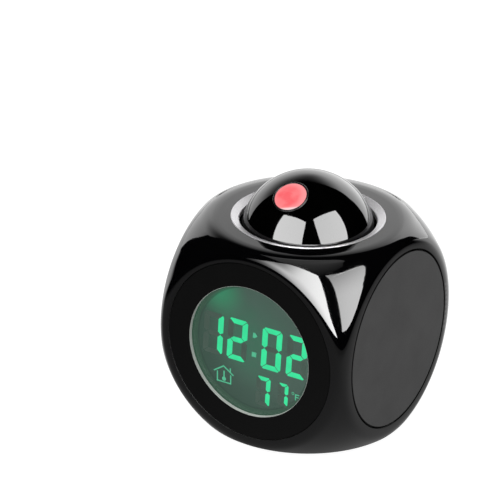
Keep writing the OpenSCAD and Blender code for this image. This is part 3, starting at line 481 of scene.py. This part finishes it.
dim_form = bmesh.new()
mark(dim_form, [(0.6, 5.3), (1.5, 5.3), (2.6, 6.2), (1.6, 7.35), (0.75, 7.35)])  # colon
mark(dim_form, [(0.2, -2.4), (2.1, -2.4), (2.25, -0.5), (0.35, -0.5)])
for start, end in (((-15.84, -12.5), (-11.82, -9.8)), ((-11.82, -9.8), (-7.7, -12.5)),
                   ((-14.5, -12.7), (-14.5, -16.3)), ((-14.5, -16.3), (-8.7, -16.3)),
                   ((-8.7, -16.3), (-8.7, -13.0)), ((-8.9, -10.2), (-8.9, -11.4))):
    stripe(dim_form, start, end, 0.5)                                            # house
stripe(dim_form, (-11.6, -12.0), (-11.6, -14.6), 0.55)                           # thermometer
mark(dim_form, [(-11.6 + 0.85 * math.cos(a * math.pi / 8), -15.0 + 0.85 * math.sin(a * math.pi / 8))
                for a in range(16)])
for start, end in (((19.2, -12.6), (19.2, -14.7)), ((19.2, -12.6), (20.6, -12.6)),
                   ((19.2, -13.6), (20.3, -13.6))):
    stripe(dim_form, start, end, 0.4)                                            # F and its degree ring
for a in range(8):
    turn = a * math.pi / 4
    stripe(dim_form, (18.1 + 0.45 * math.cos(turn), -12.4 + 0.45 * math.sin(turn)),
           (18.1 + 0.45 * math.cos(turn + 0.7), -12.4 + 0.45 * math.sin(turn + 0.7)), 0.2)
dim_marks = whole("display_icons", dim_form)

ghost_form = bmesh.new()
for left, idle in zip(time_places, ("adefg", "fc", "g", "fc")):
    digit(ghost_form, idle, left, **time_size)
digit(ghost_form, "defg", **tens_size)
digit(ghost_form, "defg", **ones_size)
ghosts = whole("display_idle_segments", ghost_form)


def crystal(name, colour, strength):
    """A mark of the liquid crystal with the green lamp behind it, a little cloudy."""
    made, tree, place = blank(name)
    clouds = add(tree, "ShaderNodeTexNoise", {"Vector": place, "Scale": 1 / (4 * mm), "Detail": 2})
    shade = add(tree, "ShaderNodeMapRange", {0: clouds, 1: 0.3, 2: 0.7, 3: 0.94, 4: 1.05},
                interpolation_type="SMOOTHSTEP")
    tint = add(tree, "ShaderNodeHueSaturation", {"Value": shade, "Color": linear(colour)})
    shader = add(tree, "ShaderNodeBsdfPrincipled", {"Base Color": linear("#0b1210"), "Roughness": 0.3,
                                                    "Emission Color": tint, "Emission Strength": strength})
    add(tree, "ShaderNodeOutputMaterial", {"Surface": shader})
    return made


for piece, film in ((marks, crystal("driven crystal, fully lit", "#31eda2", 1.0)),       # bright sea green
                    (dim_marks, crystal("driven crystal, half lit", "#52bd92", 1.0)),    # soft green
                    (ghosts, crystal("idle crystal", "#42554b", 0.95))):                 # close to the field
    piece.data.materials.append(film)
    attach(piece, "clock")

# ---------------------------------------------------------------- window, trim and bezel
# The bezel is matt black ABS, snapped into the front. A pale moulded trim ring lines its window, a flat disc
# of clear cast acrylic.
acrylic, tree = blank("clear acrylic")[:2]           # clear, with a thin mirror image of the table
shader = add(tree, "ShaderNodeBsdfPrincipled", {"Base Color": linear("#f4fbf8"), "Roughness": 0.0,
                                                "IOR": 1.49, "Transmission Weight": 1.0})
add(tree, "ShaderNodeOutputMaterial", {"Surface": shader})
dress(acrylic, "display_window")
dress(moulded("pale grey ABS", "#e6ece6", 0.35, depth=0.002), "window_trim")             # almost white
dress(moulded("fine-grained black ABS", "#0c0c0c", 0.6, specular=0.25), "display_bezel")  # matt black

# ---------------------------------------------------------------- main board
# Glass-fibre board with etched copper under green solder mask, screwed on the bezel's spigot from behind; the
# clock's chip and its parts are cast in black epoxy resin.
pad_pitch = 2.54 * mm
pad_radius = 0.55 * mm
mask, tree, place = blank("green solder mask over copper")    # glossy green, paler on traces, tinned pads
parts = add(tree, "ShaderNodeSeparateXYZ", {0: place})
down_board = add(tree, "ShaderNodeMath", {0: parts.outputs[1], 1: parts.outputs[2]}, operation="ADD")
flat = add(tree, "ShaderNodeCombineXYZ", {0: parts.outputs[0], 1: down_board})
traces = add(tree, "ShaderNodeTexBrick", {"Vector": flat, "Scale": 1 / (9 * mm), "Mortar Size": 0.03,
                                          "Color1": (0, 0, 0, 1), "Color2": (0, 0, 0, 1),
                                          "Mortar": (1, 1, 1, 1)}, offset=0.37, squash=0.6)
dots = add(tree, "ShaderNodeTexVoronoi", {"Vector": flat, "Scale": 1 / pad_pitch, "Randomness": 0.0},
           voronoi_dimensions="2D")
pad = pad_radius / pad_pitch
dots = add(tree, "ShaderNodeMapRange", {0: dots, 1: pad, 2: pad * 1.15, 3: 1, 4: 0},
           interpolation_type="SMOOTHSTEP")
groups = add(tree, "ShaderNodeTexNoise", {"Vector": flat, "Scale": 1 / (7 * mm), "Detail": 1})
groups = add(tree, "ShaderNodeMapRange", {0: groups, 1: 0.52, 2: 0.54}, interpolation_type="SMOOTHSTEP")
tin = add(tree, "ShaderNodeMath", {0: dots, 1: groups}, operation="MULTIPLY")
green = add(tree, "ShaderNodeMix", {0: traces, 6: linear("#17492c"), 7: linear("#2c7a47")}, data_type="RGBA")
tint = add(tree, "ShaderNodeMix", {0: tin, 6: green, 7: linear("#c3c6c6")}, data_type="RGBA")
relief = add(tree, "ShaderNodeBump", {"Height": traces, "Distance": 0.03 * mm, "Strength": 1.0})
shader = add(tree, "ShaderNodeBsdfPrincipled", {"Base Color": tint, "Metallic": tin, "Roughness": 0.28,
                                                "Normal": relief})
add(tree, "ShaderNodeOutputMaterial", {"Surface": shader})
dress(mask, "main_board")
resin_black = moulded("black epoxy resin", "#141416", 0.25, depth=0.004)       # smooth, half gloss
dress(resin_black, "controller_chip")


def metal(name, colour, roughness, scratch=0.2):
    """Bare or plated metal with fine handling marks, scratch mm apart."""
    made, tree, place = blank(name)
    marks = add(tree, "ShaderNodeTexNoise", {"Vector": place, "Scale": 1 / (scratch * mm), "Detail": 3})
    rough = add(tree, "ShaderNodeMapRange", {0: marks, 1: 0.3, 2: 0.7, 3: roughness * 0.8, 4: roughness * 1.25},
                interpolation_type="SMOOTHSTEP")
    shader = add(tree, "ShaderNodeBsdfPrincipled", {"Base Color": linear(colour), "Metallic": 1.0,
                                                    "Roughness": rough})
    add(tree, "ShaderNodeOutputMaterial", {"Surface": shader})
    return made


zinc = metal("zinc-plated steel", "#b8bcc0", 0.32)                             # bluish, satin bright
dress(zinc, "board_screws")

# ---------------------------------------------------------------- side panels
# Matt dark grey ABS discs, pegged into their seats with a narrow dark groove round them.
# Painted shade: the disc's outer rim is darkened to near black, so the dark groove round it reads wider.
disc_shade_start = 33.15 * mm
edge_width = 0.1 * mm
disc_grey = moulded("fine-grained dark grey ABS", "#5a5a5a", 0.6, specular=0.3)      # even, dark at its rim
tree = disc_grey.node_tree
shader = next(node for node in tree.nodes if node.type == "BSDF_PRINCIPLED")
place = next(node for node in tree.nodes if node.type == "TEX_COORD").outputs["Object"]
flat = add(tree, "ShaderNodeVectorMath", {0: place, 1: (0, 1, 1)}, operation="MULTIPLY")
out = add(tree, "ShaderNodeVectorMath", {0: flat, 1: (0, 0, case_middle.z)}, operation="DISTANCE")
shade = add(tree, "ShaderNodeMapRange", {0: out, 1: disc_shade_start, 2: disc_shade_start + edge_width, 3: 1, 4: 0.06},
            interpolation_type="SMOOTHSTEP")
tint = add(tree, "ShaderNodeHueSaturation", {"Value": shade,
                                             "Color": shader.inputs["Base Color"].links[0].from_socket})
tree.links.new(tint.outputs[0], shader.inputs["Base Color"])
dress(disc_grey, "side_panel_right", "side_panel_left")

# ---------------------------------------------------------------- chassis and ball carrier
# Grey ABS mouldings under the ball: the chassis is screwed to bosses of the case, and the cradle slides on its
# posts over the press switch. Steel pins with red fibre washers hold the ball.
inner_grey = moulded("grey ABS", "#2f2f33", 0.5)                               # dull dark grey
dress(inner_grey, "chassis", "ball_carrier")
dress(resin_black, "press_switch")
dress(zinc, "chassis_screws", "pivot_pins")
dress(moulded("red fibre", "#7a2f2c", 0.7), "friction_washers")                # dry brick red

# ---------------------------------------------------------------- return spring
# Compression spring of steel wire between the chassis and the ball's cradle. Its lowest coil stays on the
# chassis and its top coil goes down with the cradle when the ball is pressed; the copy here is fixed and keeps
# its rest length.
spring = dressed_copy("return_spring_coil", "return_spring")
spring.data.materials.append(metal("drawn spring steel", "#a9abae", 0.28))     # grey, with a fine shine
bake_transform(spring)
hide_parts("return_spring")

# ---------------------------------------------------------------- projector
# A red lamp on its own round board shines through a condenser lens and a small crystal slide, all held in a
# grey ABS barrel in the ball.
dress(mask, "led_board")
lamp_resin, tree, place = blank("red resin over the lamp chip")        # deep clear red that glows from inside
clouds = add(tree, "ShaderNodeTexNoise", {"Vector": place, "Scale": 1 / (1.5 * mm), "Detail": 2})
glow = add(tree, "ShaderNodeMix", {0: clouds, 6: linear("#f2615c"), 7: linear("#ff9a8f")}, data_type="RGBA")
shader = add(tree, "ShaderNodeBsdfPrincipled", {"Base Color": linear("#b8433f"), "Roughness": 0.12,
                                                "Emission Color": glow, "Emission Strength": 0.8})
add(tree, "ShaderNodeOutputMaterial", {"Surface": shader})
dress(lamp_resin, "led_emitter")
dress(inner_grey, "projector_barrel")
dress(acrylic, "condenser_lens")
dress(moulded("dark crystal slide", "#3f4f49", 0.15, depth=0.001), "slide_lcd")      # dark smooth glass

# ---------------------------------------------------------------- projector ball
# Two glossy black shells, screwed together, with the coloured lens in its thin ring.
ball_black = polished("polished black ABS of the ball", "#020202", wave=20, depth=0.002)    # black mirror
dress(ball_black, "ball_shell", "ball_cap")
dress(zinc, "ball_screws")
ring_black = moulded("satin black ring", "#060606", 0.35, depth=0.002, specular=0.2)       # soft grey glints
dress(ring_black, "lens_ring")
lens_low, lens_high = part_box("projector_lens")
lens_middle = (Vector(lens_low) + Vector(lens_high)) / 2
foot_axis = (level * 0.1 - upright).normalized()
rim_shift = level * 1.2 * mm                   # the pale rim is wider on the right
rim_start, rim_end = 3.2 * mm, 6.6 * mm
foot_start, foot_end = 3.3 * mm, 4.1 * mm
lens_red, tree, place = blank("red acrylic with the lamp behind it")   # glows red, paler at the rim and foot
clouds = add(tree, "ShaderNodeTexNoise", {"Vector": place, "Scale": 1 / (4 * mm), "Detail": 2})
clouds = add(tree, "ShaderNodeMapRange", {0: clouds, 1: 0.35, 2: 0.7}, interpolation_type="SMOOTHSTEP")
out = add(tree, "ShaderNodeVectorMath", {0: place, 1: lens_middle - rim_shift}, operation="DISTANCE")
rim = add(tree, "ShaderNodeMapRange", {0: out, 1: rim_start, 2: rim_end, 3: 0, 4: 0.9},
          interpolation_type="SMOOTHSTEP")
# Painted highlight: a near-white band along the lens's lower edge, its foot.
from_middle = add(tree, "ShaderNodeVectorMath", {0: place, 1: lens_middle}, operation="SUBTRACT")
foot_highlight = add(tree, "ShaderNodeVectorMath", {0: from_middle, 1: foot_axis}, operation="DOT_PRODUCT")
foot_highlight = add(tree, "ShaderNodeMapRange", {0: foot_highlight, 1: foot_start, 2: foot_end, 3: 0, 4: 0.9},
           interpolation_type="SMOOTHSTEP")
red = linear("#fb7076")
for share, colour in ((clouds, "#ff8d90"), (rim, "#ffacae"), (foot_highlight, "#fff4f4")):
    red = add(tree, "ShaderNodeMix", {0: share, 6: red, 7: linear(colour)}, data_type="RGBA")
shader = add(tree, "ShaderNodeBsdfPrincipled", {"Base Color": linear("#8c2a2e"), "Roughness": 0.08,
                                                "Emission Color": red, "Emission Strength": 0.8})
add(tree, "ShaderNodeOutputMaterial", {"Surface": shader})
dress(lens_red, "projector_lens")

# ---------------------------------------------------------------- collar
# The ring round the ball: ABS with a silver lacquer, pressed into the top.
lacquer, tree, place = blank("silver lacquer")       # bright and even, with its flake drawn coarser to show
flake = add(tree, "ShaderNodeTexNoise", {"Vector": place, "Scale": 1 / (0.25 * mm), "Detail": 2})
flake = add(tree, "ShaderNodeMapRange", {0: flake, 1: 0.4, 2: 0.6}, interpolation_type="SMOOTHSTEP")
tint = add(tree, "ShaderNodeMix", {0: flake, 6: linear("#c4c2c5"), 7: linear("#d9d8da")}, data_type="RGBA")
shader = add(tree, "ShaderNodeBsdfPrincipled", {"Base Color": tint, "Metallic": 0.35, "Roughness": 0.3})
add(tree, "ShaderNodeOutputMaterial", {"Surface": shader})
dress(lacquer, "collar_ring")

# ---------------------------------------------------------------- keys
# Four grey ABS keys stand through the rear panel and press the switches of their own small board.
dress(mask, "key_board")
dress(resin_black, "key_switches")
dress(zinc, "key_board_screws")
key_grey = moulded("grey ABS key", "#3a3a3d", 0.4, depth=0.005)                # satin mid grey
dress(key_grey, "key_mode", "key_set", "key_up", "key_down")

# ---------------------------------------------------------------- loudspeaker
# Small loudspeaker: a felted paper cone in a pressed steel basket, clamped on the wall behind the grille.
cone_radius = 11.6 * mm
cone_height = 29 * mm
cone, tree, place = blank("felted paper cone in a steel basket")       # dark fibrous paper, bright plated rim
flat = add(tree, "ShaderNodeVectorMath", {0: place, 1: (1, 0, 1)}, operation="MULTIPLY")
out = add(tree, "ShaderNodeVectorMath", {0: flat, 1: (0, 0, cone_height)}, operation="DISTANCE")
steel = add(tree, "ShaderNodeMapRange", {0: out, 1: cone_radius, 2: cone_radius + edge_width},
            interpolation_type="SMOOTHSTEP")
fibre = add(tree, "ShaderNodeTexNoise", {"Vector": place, "Scale": 1 / (0.6 * mm), "Detail": 4})
felt = add(tree, "ShaderNodeMix", {0: fibre, 6: linear("#1d1b1a"), 7: linear("#3b3734")}, data_type="RGBA")
tint = add(tree, "ShaderNodeMix", {0: steel, 6: felt, 7: linear("#a5a8ab")}, data_type="RGBA")
rough = add(tree, "ShaderNodeMapRange", {0: steel, 1: 0, 2: 1, 3: 0.9, 4: 0.35},
            interpolation_type="SMOOTHSTEP")
relief = add(tree, "ShaderNodeBump", {"Height": fibre, "Distance": 0.05 * mm, "Strength": 1.0})
shader = add(tree, "ShaderNodeBsdfPrincipled", {"Base Color": tint, "Metallic": steel, "Roughness": rough,
                                                "Normal": relief})
add(tree, "ShaderNodeOutputMaterial", {"Surface": shader})
dress(cone, "speaker")

# ---------------------------------------------------------------- back and base
# Covers of grained black ABS, each held by four screws, with the loudspeaker's grille in the back and the
# battery door hinged in the base; soft black rubber feet are glued into their seats.
cover_black = moulded("grained black ABS", "#151516", 0.55, specular=0.4)      # matt, leathery black
dress(cover_black, "rear_panel", "base_cover", "battery_door")
dress(zinc, "rear_screws", "base_screws")
dress(moulded("black rubber", "#1b1b1c", 0.8, grain=0.6, depth=0.03), "feet")        # dull, coarse skin

# ---------------------------------------------------------------- batteries
# Three AAA cells, head to tail between nickel-plated springs: steel cans in a printed film, with a band at
# the plus end. The middle cell lies the other way round.
cell_length = 43.7 * mm
row_edge = 5.4 * mm
band_width = 12 * mm
end_width = 0.6 * mm
jacket, tree, place = blank("printed film on a steel can")    # satin grey blue with a pale band, steel ends
parts = add(tree, "ShaderNodeSeparateXYZ", {0: place})
row = add(tree, "ShaderNodeMath", {0: parts.outputs[1]}, operation="ABSOLUTE")
way = add(tree, "ShaderNodeMapRange", {0: row, 1: row_edge, 2: row_edge + edge_width, 3: -1, 4: 1},
          interpolation_type="SMOOTHSTEP")
along = add(tree, "ShaderNodeMath", {0: parts.outputs[0], 1: way}, operation="MULTIPLY")
band_start = cell_length / 2 - band_width
band = add(tree, "ShaderNodeMapRange", {0: along, 1: band_start, 2: band_start + edge_width},
           interpolation_type="SMOOTHSTEP")
reach = add(tree, "ShaderNodeMath", {0: along}, operation="ABSOLUTE")
end_start = cell_length / 2 - end_width
end = add(tree, "ShaderNodeMapRange", {0: reach, 1: end_start, 2: end_start + edge_width},
          interpolation_type="SMOOTHSTEP")
film = add(tree, "ShaderNodeMix", {0: band, 6: linear("#3d5468"), 7: linear("#c9cdd0")}, data_type="RGBA")
tint = add(tree, "ShaderNodeMix", {0: end, 6: film, 7: linear("#b4b6b8")}, data_type="RGBA")
wear = add(tree, "ShaderNodeTexNoise", {"Vector": place, "Scale": 1 / (1.5 * mm), "Detail": 3})
rough = add(tree, "ShaderNodeMapRange", {0: wear, 1: 0.3, 2: 0.7, 3: 0.22, 4: 0.36},
            interpolation_type="SMOOTHSTEP")
shader = add(tree, "ShaderNodeBsdfPrincipled", {"Base Color": tint, "Metallic": end, "Roughness": rough})
add(tree, "ShaderNodeOutputMaterial", {"Surface": shader})
dress(jacket, "battery_cells")
dress(metal("nickel-plated strip", "#c9c6bd", 0.25), "battery_contacts")       # warm and bright

# ---------------------------------------------------------------- soft boxes
# Two tall soft boxes beside the camera, and a pale wall and ceiling behind the clock. They show in the gloss
# pieces alone: one set is hung round the case and one round the ball.
box_distance = 0.8


def soft_box(name, outline, radiance, middle, lights_up, span, fades=(), dim=None):
    """A curved soft box that fills an outline of directions seen from middle: degrees to the right of the
    camera's side, and degrees above level. Its radiance goes from the first value to the second over a span
    to the right, is faded out along axes, and can be dim round one spot. Lengths are in box distances."""
    form = bmesh.new()
    corners = []
    for side, height in outline:
        turn, rise = camera_azimuth + math.radians(side), math.radians(height)
        corners.append(form.verts.new((math.sin(turn) * math.cos(rise), -math.cos(turn) * math.cos(rise),
                                       math.sin(rise))))
    for triangle in tessellate_polygon([[Vector((side, height, 0)) for side, height in outline]]):
        form.faces.new([corners[i] for i in triangle])
    bmesh.ops.subdivide_edges(form, edges=form.edges[:], cuts=9, use_grid_fill=True)
    for point in form.verts:
        point.co.normalize()
    made = whole(name, form)
    made.location, made.scale = middle, (box_distance,) * 3
    cloth, tree, place = blank(name + " cloth")
    along = add(tree, "ShaderNodeVectorMath", {0: place, 1: level}, operation="DOT_PRODUCT")
    strength = add(tree, "ShaderNodeMapRange", {0: along, 1: span[0], 2: span[1], 3: radiance[0],
                                                4: radiance[1]}, interpolation_type="SMOOTHSTEP")
    for axis, start, end in fades:
        along = add(tree, "ShaderNodeVectorMath", {0: place, 1: axis}, operation="DOT_PRODUCT")
        share = add(tree, "ShaderNodeMapRange", {0: along, 1: start, 2: end}, interpolation_type="SMOOTHSTEP")
        strength = add(tree, "ShaderNodeMath", {0: strength, 1: share}, operation="MULTIPLY")
    if dim:
        spot, radius, least = dim
        gap = add(tree, "ShaderNodeVectorMath", {0: place, 1: spot}, operation="DISTANCE")
        share = add(tree, "ShaderNodeMapRange", {0: gap, 1: 0, 2: radius, 3: least, 4: 1},
                    interpolation_type="SMOOTHSTEP")
        strength = add(tree, "ShaderNodeMath", {0: strength, 1: share}, operation="MULTIPLY")
    shine = add(tree, "ShaderNodeEmission", {"Color": linear("#ffffff"), "Strength": strength})
    sheer = add(tree, "ShaderNodeAddShader", {0: shine, 1: add(tree, "ShaderNodeBsdfTransparent")})
    add(tree, "ShaderNodeOutputMaterial", {"Surface": sheer})
    made.data.materials.append(cloth)
    made.visible_camera = made.visible_diffuse = made.visible_transmission = made.visible_shadow = False
    group = bpy.data.collections.new(name)
    for piece in lights_up:
        group.objects.link(piece)
    made.light_linking.receiver_collection = group


ball_middle = Vector((0, 0, 70.9)) * mm
ball_pieces = [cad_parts[node] for node in ("ball_shell", "ball_cap", "lens_ring", "projector_lens")]
front_of_case = [housing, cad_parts["collar_ring"]]
whole_case = front_of_case + [housing_top]
up = Vector((0, 0, 1))
gap_rise = math.radians(37)
gap_spot = away * math.cos(gap_rise) + up * math.sin(gap_rise)
soft_box("left box of the ball",
         [(-60.5, 7), (-10, 10), (-9, 23), (-7, 37), (-5.6, 48), (-26, 52), (-50, 50.5), (-64, 46), (-63, 30)],
         (15.1, 14.4), ball_middle, ball_pieces, (-0.8, 0))
soft_box("right box of the ball",
         [(22.4, 10), (49, 7.5), (70, 4.7), (72.5, 15), (77.5, 38), (80, 49), (57, 55), (29, 55.5),
          (13.5, 52.5), (16, 40), (18.7, 26)],
         (13.5, 14.1), ball_middle, ball_pieces, (0.2, 0.8))
soft_box("back wall for the ball",
         [(234, -2.5), (233, 15), (232, 25), (229, 34), (222, 42), (205, 49), (180, 52), (160, 51), (146, 46),
          (137, 38), (129, 28), (126, 14), (125, -2.5)],
         (1.65, 3.0), ball_middle, ball_pieces, (-0.1, 0.5), [(up - 0.22 * level, 0.8, 0.33)],
         (gap_spot, 0.3, 0.5))
soft_box("left box of the case",
         [(19.8, 5), (18.9, 18), (18, 26), (17.4, 34), (16.2, 41), (15, 47), (12.6, 52.4), (6.2, 54.6),
          (-10, 58.2), (-19, 59), (-28, 59), (-37, 58), (-45, 51.6), (-50.5, 40), (-54, 27), (-57.4, 18),
          (-60, 12), (-60, 5)],
         (12, 23), case_middle, front_of_case, (-0.6, 0.4),
         [(level, -0.9, -0.42), (up - 0.5 * level, 1.12, 0.8)])
soft_box("right box of the case",
         [(27, 9.5), (28.8, 9.5), (32.4, 10.5), (45.3, 11), (52.9, 15), (53, 25), (55, 36.2), (63.7, 42.4),
          (67.8, 45.1), (67.4, 46.7), (64.8, 47.7), (55, 49), (44, 50), (32, 51), (21.2, 51.6), (24.4, 49),
          (26.1, 45), (27.2, 39), (27.2, 24)],
         (11, 13.3), case_middle, front_of_case, (0.25, 0.6), [(up, 1.05, 0.55)])
soft_box("back wall for the case",
         [(219, -2.5), (221.5, 3), (225, 8), (229, 13), (232.5, 18), (236, 25), (236, 32), (226, 42),
          (205, 49), (180, 52), (160, 51), (143, 46), (135, 37), (127, 28), (125.5, 11), (124, -2.5)],
         (1.5, 2.25), case_middle, whole_case, (-0.1, 0.55),
         [(up - 0.22 * level, 0.82, 0.42), (level, -0.88, -0.7)], (gap_spot, 0.3, 0.4))
soft_box("faint ceiling over the case",
         [(-108, 66), (-48, 62), (-15.5, 52), (15.5, 52), (27.8, 52), (45.7, 54), (60, 62), (80, 75), (60, 84),
          (0, 87), (-60, 84), (-90, 76)],
         (0.7, 0.9), case_middle, whole_case, (-0.5, 0.5), [(up, 0.76, 0.93)])
